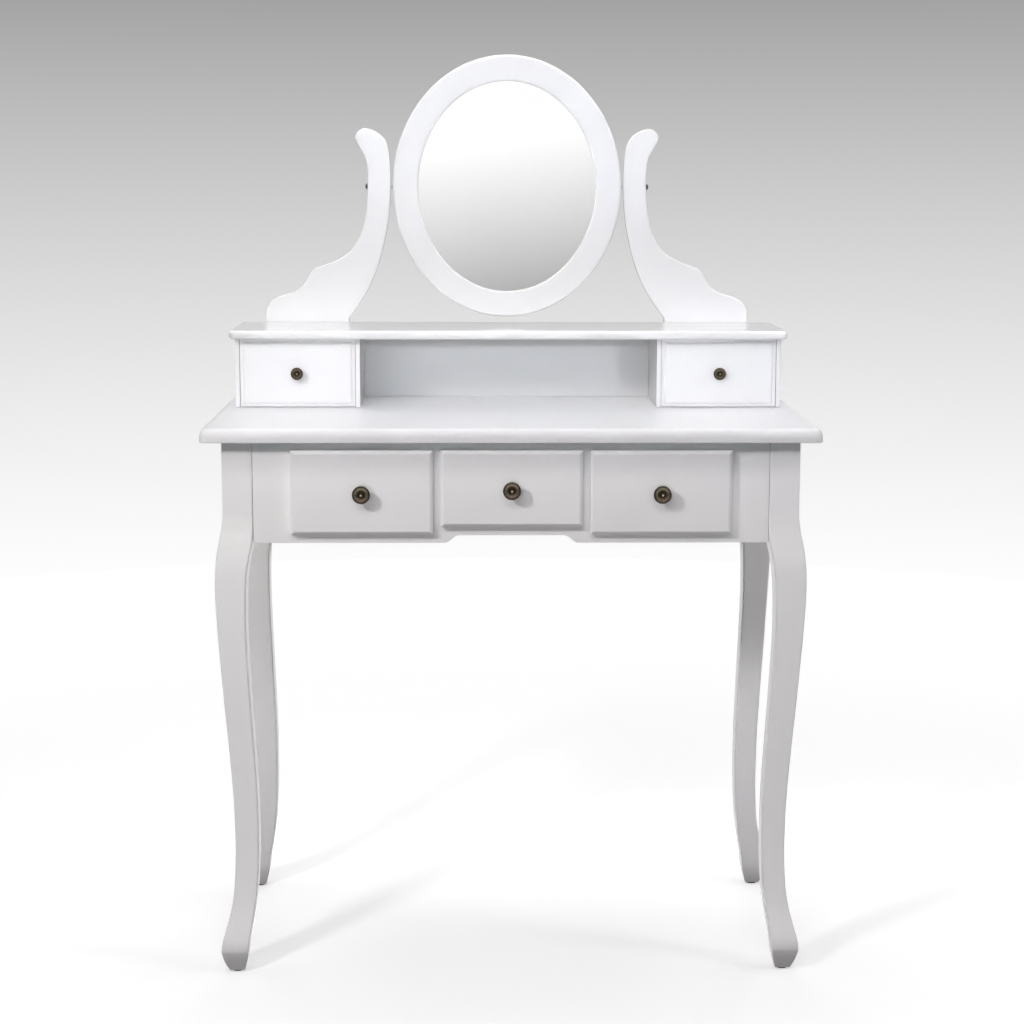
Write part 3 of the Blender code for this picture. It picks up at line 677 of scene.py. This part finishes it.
def make_front_apron():
    """The front board with a raised middle and a hole for each drawer, its edges rounded by a modifier."""
    low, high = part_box("front_apron")
    rise = []
    for i in range(ogee_steps + 1):
        share = i / ogee_steps
        x = apron_rise_half_width + apron_ogee_run * (1 - share)
        rise.append((x, low.z + apron_rise * (1 - math.cos(math.pi * share)) / 2))
    outline = [(low.x, low.z), *[(-x, z) for x, z in rise], *reversed(rise), (high.x, low.z), (high.x, high.z),
               (low.x, high.z)]
    middle = joint_ease * middle_share
    rings = []
    for y, inset in ((low.y, joint_ease), (low.y + middle, middle), (low.y + joint_ease, 0), (high.y, 0)):
        limit = high.x - inset
        rings.append([(max(-limit, min(limit, x)), y, z) for x, z in outline])
    holes = []
    for name in lower_drawers:
        box_low, box_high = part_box(f"{name}_box")
        holes.append(eased_block((box_low.x - apron_hole_gap, low.y - cut_past, box_low.z - apron_hole_gap),
                                 (box_high.x + apron_hole_gap, high.y + cut_past, box_high.z + apron_hole_head),
                                 edge_ease))
    plate = carve(loft(rings), *holes)
    made = dress("front_apron_board", plate, "table", white, ["front_apron"], weighted=False)
    rounding = made.modifiers.new("eased_edges", "BEVEL")
    rounding.width = edge_ease
    rounding.segments = ease_segments
    rounding.limit_method = "ANGLE"
    rounding.angle_limit = math.radians(apron_round_angle)
    weigh_normals(made)


def make_panels():
    names = ["side_apron_left", "side_apron_right", "back_apron"]
    names += [f"hutch_{part}_{name}" for part in ("side", "divider", "floor") for _, name in sides]
    for name in names:
        low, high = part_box(name)
        dress(f"{name}_board", eased_block(low, high, edge_ease), "table", white, [name])


# Drawers

def bevelled_front(low, high, bevel, rim, hole):
    """A drawer front with a bevel round its face, on small ones inside a flat rim, and a blind hole for the stud."""
    width, depth = bevel
    shoulder = low.y + depth
    ease = edge_ease * middle_share
    near, far = bevel_turn * turn_near_share, bevel_turn * turn_far_share
    levels = [(edge_ease, high.y), (ease, high.y - ease), (0, high.y - edge_ease)]
    if rim:
        levels += [(0, shoulder + edge_ease), (ease, shoulder + ease), (edge_ease, shoulder),
                   (rim - bevel_turn, shoulder), (rim + bevel_turn, shoulder - bevel_turn * rim_fall_share)]
    else:
        levels += [(0, shoulder + bevel_turn), (far, shoulder - near), (bevel_turn, shoulder - bevel_turn)]
    levels += [(width - bevel_turn, low.y + bevel_turn * depth / (width - rim)), (width - near, low.y + far),
               (width + bevel_turn, low.y)]
    rings = []
    for inset, y in levels:
        reach = inset + front_corner
        ring = []
        for x, z, start in ((high.x, high.z, 0), (low.x, high.z, 90), (low.x, low.z, 180), (high.x, low.z, 270)):
            to_x = -1 if x == high.x else 1
            to_z = -1 if z == high.z else 1
            ring += arc((x + to_x * reach, z + to_z * reach), front_corner, start, start + 90, front_corner_steps)
        rings.append([(x, y, z) for x, z in ring])
    middle = (low + high) / 2
    radius = stud_radius + fit_gap
    angles = [math.radians(360 * (k + 0.5) / stud_hole_sides) for k in range(stud_hole_sides)]
    for y in (low.y, low.y + hole):
        rings.append([(middle.x + radius * math.cos(a), y, middle.z + radius * math.sin(a)) for a in angles])
    return loft(rings)


def knob(name, body, front_y):
    """A turned knob with its stud."""
    low, high, middle = world_box(name)
    radius = (high.x - low.x) / 2
    reach = front_y - fit_gap - low.y
    stud = high.y - front_y
    path = smooth_path(knob_shape_shares, knob_steps)
    profile = [(max(0.0, r) * radius, fit_gap + h * reach) for r, h, _ in path]
    profile[-1] = (0.0, profile[-1][1])
    profile = [(0, -stud), (stud_radius, -stud), (stud_radius, fit_gap), *profile]
    wear_and_highlight = [0, 0, 0, *(w for _, _, w in path)]
    shape = turned(profile, (middle.x, front_y, middle.z), (0, -1, 0), knob_segments, wear_and_highlight)
    dress(f"{name}_turned", shape, body, bronze, [name], knob_sharp_angle, False)


def grooved_board(low, high, along, inner, depth, floor_z, floor_thick):
    """A board of a drawer box, its groove for the floor on the side that faces inner."""
    across = 1 - along
    face = high[across] if inner > 0 else low[across]
    back = low[across] if inner > 0 else high[across]
    bottom = face - inner * depth
    section = [(back, low.z), (face, low.z), (face, floor_z), (bottom, floor_z), (bottom, floor_z + floor_thick),
               (face, floor_z + floor_thick), (face, high.z), (back, high.z)]
    rings = []
    for end in (low[along], high[along]):
        rings.append([(end, a, z) if along == 0 else (a, end, z) for a, z in section])
    mesh_data = loft(rings)
    bmesh.ops.bevel(mesh_data, geom=list(mesh_data.edges), offset=box_ease, segments=box_ease_segments, profile=0.5,
                    affect="EDGES", clamp_overlap=True)
    return mesh_data


def drawer_box(name, wall, groove):
    """The four boards of a drawer's box: full-length sides with the ends between them."""
    node = f"{name}_box"
    low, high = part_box(node)
    floor_low, floor_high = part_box(f"{name}_floor")
    floor_z = floor_low.z - fit_gap
    floor_thick = floor_high.z - floor_low.z + 2 * fit_gap
    for side, label in sides:
        x_low, x_high = (low.x, low.x + wall) if side < 0 else (high.x - wall, high.x)
        board = grooved_board(Vector((x_low, low.y, low.z)), Vector((x_high, high.y, high.z)), 1, -side, groove,
                              floor_z, floor_thick)
        dress(f"{node}_side_{label}", board, name, wood_y, [node] if side < 0 else [])
    x_low, x_high = low.x + wall + board_seam, high.x - wall - board_seam
    for end, label in ((-1, "front"), (1, "back")):
        y_low, y_high = (low.y, low.y + wall) if end < 0 else (high.y - wall, high.y)
        board = grooved_board(Vector((x_low, y_low, low.z)), Vector((x_high, y_high, high.z)), 0, -end, groove,
                              floor_z, floor_thick)
        dress(f"{node}_{label}", board, name, wood_x)


def make_drawers():
    for names, bevel, rim, wall, groove in ((lower_drawers, drawer_bevel, 0, drawer_wall, drawer_groove),
                                             (small_drawers, small_bevel, small_rim, small_wall, small_groove)):
        for name in names:
            low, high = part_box(f"{name}_front")
            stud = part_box(f"{name}_knob")[1].y - low.y + fit_gap
            front = bevelled_front(low, high, bevel, rim, stud)
            dress(f"{name}_front_board", front, name, white, [f"{name}_front"], front_sharp_angle)
            knob(f"{name}_knob", name, low.y)
            drawer_box(name, wall, groove)


# Mirror

def ellipse(half_width, half_height, y, centre):
    """Points on an upright ellipse."""
    angles = [math.tau * i / ellipse_segments for i in range(ellipse_segments)]
    return [(centre.x + half_width * math.cos(a), y, centre.z + half_height * math.sin(a)) for a in angles]


def make_mirror():
    """The frame's ring with its rebate, the glass and the backing in it, and the points that hold them."""
    low, high, centre = world_box("mirror_frame")
    half_width = (high.x - low.x) / 2
    half_height = (high.z - low.z) / 2
    thick = high.y - low.y
    inner = [(mirror_border - inset, depth) for inset, depth in reversed(quarter(mirror_inner_round))]
    rear = [(inset, thick - depth) for inset, depth in reversed(quarter(edge_ease, rear_edge_steps))]
    rebate = mirror_border - mirror_rebate
    section = [(mirror_border, mirror_lip - fit_gap), *inner, *quarter(mirror_outer_round), *rear,
               (rebate - edge_ease, thick), (rebate, thick - edge_ease), (rebate, mirror_lip),
               (mirror_border - fit_gap, mirror_lip)]
    rings = [ellipse(half_width - inset, half_height - inset, low.y + depth, centre) for inset, depth in section]
    dress("mirror_frame_ring", loft(rings, closed=True), "mirror", white, ["mirror_frame"])
    for node, finish, slot, name in (("mirror_glass", silver, "mirror_glass", "mirror_glass_plate"),
                                     ("mirror_backing", fibreboard, "hardboard", "mirror_backing_board")):
        plate_low, plate_high, _ = world_box(node)
        width = (plate_high.x - plate_low.x) / 2
        height = (plate_high.z - plate_low.z) / 2
        levels = [(glass_bevel, plate_low.y), (0, plate_low.y + glass_bevel), (0, plate_high.y - glass_bevel),
                  (glass_bevel, plate_high.y)]
        rings = [ellipse(width - inset, height - inset, y, centre) for inset, y in levels]
        dress(name, loft(rings), "mirror", finish, [node])
    backing_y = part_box("mirror_backing")[1].y
    for k in range(point_count):
        angle = math.tau * (k + 0.5) / point_count
        x, z = math.cos(angle), math.sin(angle)
        rim = Vector((centre.x + (half_width - rebate) * x, 0, centre.z + (half_height - rebate) * z))
        outward = Vector((x / (half_width - rebate), 0, z / (half_height - rebate))).normalized()
        make_point(f"mirror_point_{k + 1}", rim, outward, backing_y)


def make_point(name, rim, outward, backing_y):
    """A small plated point pushed into the rebate's wall, whose tail lies on the backing."""
    across = Vector((-outward.z, 0, outward.x))
    tail = point_length - point_bite
    shape = [(point_bite, 0.0)] + [(-tail * along, width) for along, width in point_tail_shares]
    shape += [(x, -w) for x, w in reversed(shape[1:-1])]
    rings = []
    for level in (point_seat, point_seat + point_thick):
        ring = []
        for reach, width in shape:
            lift = point_lift * max(0.0, -reach / tail - point_lift_start) / (1 - point_lift_start)
            spot = rim + outward * reach + across * (width * point_width)
            ring.append((spot.x, backing_y + level + lift, spot.z))
        rings.append(ring)
    dress(name, loft(rings), "mirror", zinc)


# Brackets and their fixings

def drawn_in(outline, inset):
    """A closed outline moved inwards by its mitred normals."""
    following = outline[1:] + outline[:1]
    area = sum(a[0] * b[1] - b[0] * a[1] for a, b in zip(outline, following))
    sign = 1 if area > 0 else -1
    moved = []
    for before, here, after in zip(outline[-1:] + outline[:-1], outline, following):
        first = Vector((here[0] - before[0], here[1] - before[1])).normalized()
        second = Vector((after[0] - here[0], after[1] - here[1])).normalized()
        mitre = (first + second) * sign / max(mitre_limit, 1 + first.dot(second))
        moved.append((here[0] - mitre.y * inset, here[1] + mitre.x * inset))
    return moved


def make_brackets():
    """The scroll brackets, each with a bore for its bolt and two stepped holes for its screws."""
    crest_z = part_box("hutch_top")[1].z
    for side, name in sides:
        node = f"mirror_bracket_{name}"
        low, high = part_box(node)
        inner_x = low.x if side > 0 else -high.x
        height = high.z - crest_z
        points = [(inner_x + across * bracket_spread, crest_z + up * height) for across, up in bracket_outline_shares]
        path = smooth_path(points, bracket_steps)
        outline = [(side * x, z) for x, z in [(path[0][0], low.z), *path, (path[-1][0], low.z)]]
        levels = [(inset, low.y + depth) for inset, depth in quarter(bracket_rim_round)]
        levels += [(inset, high.y - depth) for inset, depth in reversed(quarter(bracket_rim_round))]
        rings = [[(x, y, z) for x, z in drawn_in(outline, inset)] for inset, y in levels]
        bolt_low, bolt_high, bolt = world_box(f"pivot_bolt_{name}")
        length = bolt_high.x - bolt_low.x + 2 * cut_past
        cutters = [turned([(0, 0), (spacer_bore, 0), (spacer_bore, length), (0, length)],
                          (bolt_low.x - cut_past, bolt.y, bolt.z), (1, 0, 0))]
        for number in (1, 2):
            _, _, screw = world_box(f"bracket_screw_{name}_{number}")
            shank = screw_radius + fit_gap
            head = screw_head_radius + fit_gap
            depth = high.y - screw_sink
            profile = [(0, low.y - cut_past), (shank, low.y - cut_past), (shank, depth), (head, depth),
                       (head, high.y + cut_past), (0, high.y + cut_past)]
            cutters.append(turned(profile, (screw.x, 0, screw.z), (0, 1, 0)))
        shape = carve(loft(rings), *cutters)
        dress(f"{node}_scroll", shape, "table", white, [node])


def make_fixings():
    """Each side's domed bolt with its spacer, and its two screws."""
    for side, name in sides:
        node = f"pivot_bolt_{name}"
        low, high, middle = world_box(node)
        length = high.x - low.x
        neck = length - bolt_head_thick
        dome = bolt_head_thick - bolt_head_rim
        turns = [math.pi / 2 * i / bolt_dome_steps for i in range(bolt_dome_steps + 1)]
        crown = [(bolt_head_radius * math.cos(a), neck + bolt_head_rim + dome * math.sin(a)) for a in turns]
        crown[-1] = (0.0, length)
        profile = [(0, 0), (bolt_radius - bolt_ease, 0), (bolt_radius, bolt_ease), (bolt_radius, neck),
                   (bolt_head_radius - bolt_head_ease, neck), (bolt_head_radius, neck + bolt_head_ease), *crown]
        start = low.x if side > 0 else high.x
        bolt = turned(profile, (start, middle.y, middle.z), (side, 0, 0))
        dress(f"{node}_turned", bolt, "mirror", blackened, [node])
        node = f"pivot_spacer_{name}"
        low, high, middle = world_box(node)
        width = high.x - low.x
        ring = [(spacer_bore, 0), (spacer_radius - spacer_ease, 0), (spacer_radius, spacer_ease),
                (spacer_radius, width - spacer_ease), (spacer_radius - spacer_ease, width), (spacer_bore, width)]
        spacer = turned(ring, (low.x, middle.y, middle.z), (1, 0, 0), closed=True)
        dress(f"{node}_washer", spacer, "mirror", zinc, [node])
        for number in (1, 2):
            make_screw(f"bracket_screw_{name}_{number}")


def make_screw(node):
    """A pan-head screw with a cross recess."""
    low, high, middle = world_box(node)
    length = high.y - low.y
    under = length - screw_head_thick
    rim = under + screw_head_rim
    profile = [*screw_tip, (screw_radius, under), (screw_head_radius, under), (screw_head_radius, rim)]
    for i in range(1, screw_dome_steps + 1):
        share = 1 - i / screw_dome_steps
        profile.append((screw_head_radius * share, length - screw_dome_fall * share ** screw_dome_power))
    shape = turned(profile, (middle.x, low.y, middle.z), (0, 1, 0), screw_segments)
    for vert in shape.verts:
        near, far = sorted((abs(vert.co.x - middle.x), abs(vert.co.z - middle.z)))
        on_head = vert.co.y > low.y + (under + rim) / 2
        if on_head and near < cross_half_width and far < cross_reach:
            vert.co.y -= cross_depth * min(1.0, (cross_reach - far) / cross_slope)
    dress(f"{node}_head", shape, "table", blackened, [node], screw_sharp_angle, False)


# CAD nodes whose shape is right keep it and take a finish

def finish_cad_nodes():
    finishes = {"hutch_back": white, "hutch_rail_left": white, "hutch_rail_right": white}
    for part in ("runner_inner", "runner_outer"):
        for _, name in sides:
            finishes[f"{part}_{name}"] = wood_y
    for name in (*lower_drawers, *small_drawers):
        finishes[f"{name}_floor"] = fibreboard
    for node, finish in finishes.items():
        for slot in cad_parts[node].material_slots:
            slot.material = finish


make_tops()
make_legs()
make_front_apron()
make_panels()
make_drawers()
make_mirror()
make_brackets()
make_fixings()
finish_cad_nodes()


# Studio

def set_camera():
    data = bpy.data.cameras.new("camera")
    data.lens = camera_lens
    data.sensor_width = camera_sensor
    data.sensor_fit = "HORIZONTAL"
    data.clip_start, data.clip_end = camera_clip
    made = placed("camera", data)
    level = math.cos(camera_pitch)
    forward = Vector((math.sin(camera_yaw) * level, math.cos(camera_yaw) * level, -math.sin(camera_pitch)))
    right = Vector((math.cos(camera_yaw), -math.sin(camera_yaw), 0))
    up = right.cross(forward)
    tilted_right = math.cos(camera_roll) * right + math.sin(camera_roll) * up
    tilted_up = math.cos(camera_roll) * up - math.sin(camera_roll) * right
    turn = Matrix((tilted_right, tilted_up, -forward)).transposed().to_4x4()
    made.matrix_world = Matrix.Translation(camera_place) @ turn
    bpy.context.scene.camera = made


# Lamps: place, point aimed at, size across and up, power in watts, and beam angle in degrees
lamps = {
    "overhead": ((0.0, 0.05, 2.10), (0.0, 0.05, 0.0), 2.0, 1.3, 2.0, 180),
    "overhead_back": ((0.0, 0.45, 2.10), (0.0, 0.20, 0.0), 2.0, 0.8, 17.2, 180),
    "key": ((-1.35, -1.75, 1.75), (0.0, -0.1, 0.65), 0.27, 0.27, 20.6, 180),
    "side": ((1.55, -0.68, 1.70), (0.0, -0.1, 0.70), 0.28, 0.28, 6.0, 180),
    "mirror_left": ((-0.76, -2.28, 1.519), (0.0, 0.20, 1.155), 1.25, 0.36, 0.262, 7),
    "mirror_right": ((0.76, -2.28, 1.519), (0.0, 0.20, 1.155), 1.25, 0.36, 0.345, 7),
    "shelf_left": ((-0.76, -2.28, 1.131), (0.0, 0.20, 0.767), 1.25, 0.17, 0.148, 7),
    "shelf_right": ((0.76, -2.28, 1.131), (0.0, 0.20, 0.767), 1.25, 0.17, 0.152, 7),
    "low_left": ((0.27, -1.15, 0.355), (-0.06, 0.17, 0.355), 1.10, 0.65, 0.15, 3),
    "low_right": ((-0.27, -1.15, 0.355), (0.06, 0.17, 0.355), 1.10, 0.65, 0.335, 3),
    "front_high": ((-0.20, -2.75, 2.70), (0.0, 0.0, 0.60), 1.8, 0.9, 23.5, 180),
    "left": ((-2.60, 0.10, 1.30), (0.0, 0.0, 0.5), 1.6, 1.2, 5.0, 180),
    "right": ((2.60, 0.10, 1.30), (0.0, 0.0, 0.5), 1.6, 1.2, 10.0, 180),
    "back": ((0.0, 2.80, 1.60), (0.0, 0.2, 0.6), 1.8, 1.2, 20.0, 180),
}

# The lamps' colour, and that of those which differ
lamp_tint = (1.0, 0.968, 0.982)
overhead_tint = (0.982, 0.994, 1.0)
beam_tint = (0.86, 0.92, 1.0)
tints = {"key": (1.0, 0.975, 0.95), "side": (0.94, 0.93, 1.0), "overhead": overhead_tint,
         "overhead_back": overhead_tint}
tints.update({f"{part}_{name}": beam_tint for part in ("mirror", "shelf") for _, name in sides})


def set_lamps():
    for name, (spot, aim, across, tall, power, beam) in lamps.items():
        data = bpy.data.lights.new(name, "AREA")
        data.shape = "RECTANGLE"
        data.size, data.size_y = across, tall
        data.energy = power
        data.spread = math.radians(beam)
        data.color = tints.get(name, lamp_tint)
        made = placed(name, data)
        made.location = spot
        made.rotation_euler = (Vector(aim) - Vector(spot)).to_track_quat("-Z", "Y").to_euler()
        made.visible_camera = False
        made.visible_glossy = False


# World. Heights are the z of a direction, from -1 straight down to 1 straight up.
ambient = 0.03

# Backdrop: white below the first height, and darker by a share at the second
backdrop_heights = (-0.197, 0.0736)
backdrop_curve = 1.22
backdrop_fall = 0.634

# Room in the gloss, towards the front: its brightness at two heights that lean with x, and what a higher band adds
room_heights = (-0.0745, 0.005)
room_levels = (0.36, 1.064)
room_lean = 0.175
upper_heights = (0.10, 0.50)
upper_rise = 1.2

# Room in the gloss, towards the back, and the range of y in which the one turns into the other
rear_heights = (0.0, 0.5)
rear_levels = (0.45, 0.62)
turn_range = (-0.2, 0.2)


def set_world():
    """Soft ambient light. The camera sees a grey backdrop that pales towards the floor, and gloss a pale room."""
    world = bpy.data.worlds.new("studio")
    bpy.context.scene.world = world
    world.use_nodes = True
    look = Nodes(world.node_tree)
    look.tree.nodes.clear()

    def choose(share, first, second):
        """first where share is 0 and second where it is 1."""
        kept = look.math("MULTIPLY", look.math("SUBTRACT", 1.0, share), first)
        return look.math("ADD", kept, look.math("MULTIPLY", share, second))

    direction = look.add("ShaderNodeSeparateXYZ", {"Vector": look.add("ShaderNodeTexCoord").outputs["Generated"]})
    x, y, z = (direction.outputs[axis] for axis in ("X", "Y", "Z"))
    shade = look.math("POWER", look.spread(z, 0.0, 1.0, *backdrop_heights), backdrop_curve)
    backdrop = look.math("SUBTRACT", 1.0, look.math("MULTIPLY", shade, backdrop_fall))
    leaning = look.math("SUBTRACT", z, look.math("MULTIPLY", x, room_lean))
    front = look.math("ADD", look.spread(leaning, *room_levels, *room_heights),
                      look.spread(z, 0.0, upper_rise, *upper_heights))
    rear = look.spread(z, *rear_levels, *rear_heights)
    gloss = choose(look.spread(y, 0.0, 1.0, *turn_range), front, rear)
    path = look.add("ShaderNodeLightPath")
    seen = look.math("MAXIMUM", path.outputs["Is Camera Ray"], path.outputs["Is Transmission Ray"])
    level = choose(seen, choose(path.outputs["Is Glossy Ray"], ambient, gloss), backdrop)
    background = look.add("ShaderNodeBackground", {"Color": (1, 1, 1, 1), "Strength": level})
    look.add("ShaderNodeOutputWorld", {"Surface": background.outputs["Background"]})


# Floor: a grey with a glow that fades to white between two distances, and the darker grey that lights the piece
floor_radius = 2.9
floor_grey = 0.75
floor_glow = 0.47
floor_fade = (0.8, 1.8)
floor_bounce = 0.16


def make_floor():
    """A plain pale floor that keeps the object's shadow and runs into the backdrop's white."""
    mesh_data = bmesh.new()
    bmesh.ops.create_circle(mesh_data, cap_ends=True, radius=floor_radius, segments=floor_segments)
    mesh = meshed("floor", mesh_data)
    placed("floor", mesh)
    material = bpy.data.materials.new("floor")
    material.use_nodes = True
    look = Nodes(material.node_tree)
    look.tree.nodes.clear()

    def matt(grey):
        return look.add("ShaderNodeBsdfDiffuse", {"Color": (grey, grey, grey, 1)}).outputs[0]

    def glow(strength):
        return look.add("ShaderNodeEmission", {"Color": (1, 1, 1, 1), "Strength": strength}).outputs[0]

    def mix(share, first, second):
        return look.add("ShaderNodeMixShader", {0: share, 1: first, 2: second}).outputs[0]

    near = look.add("ShaderNodeAddShader", {0: matt(floor_grey), 1: glow(floor_glow)}).outputs[0]
    place = look.add("ShaderNodeTexCoord").outputs["Object"]
    distance = look.add("ShaderNodeVectorMath", {0: place}, operation="LENGTH").outputs["Value"]
    fade = look.spread(distance, 0.0, 1.0, *floor_fade, kind="SMOOTHSTEP")
    path = look.add("ShaderNodeLightPath")
    seen = path.outputs["Is Camera Ray"]
    for kind in ("Is Glossy Ray", "Is Transmission Ray"):
        seen = look.math("MAXIMUM", seen, path.outputs[kind])
    surface = mix(seen, matt(floor_bounce), mix(fade, near, glow(1.0)))
    look.add("ShaderNodeOutputMaterial", {"Surface": surface})
    mesh.materials.append(material)


set_camera()
set_lamps()
set_world()
make_floor()
bpy.context.scene.view_settings.view_transform = "Standard"
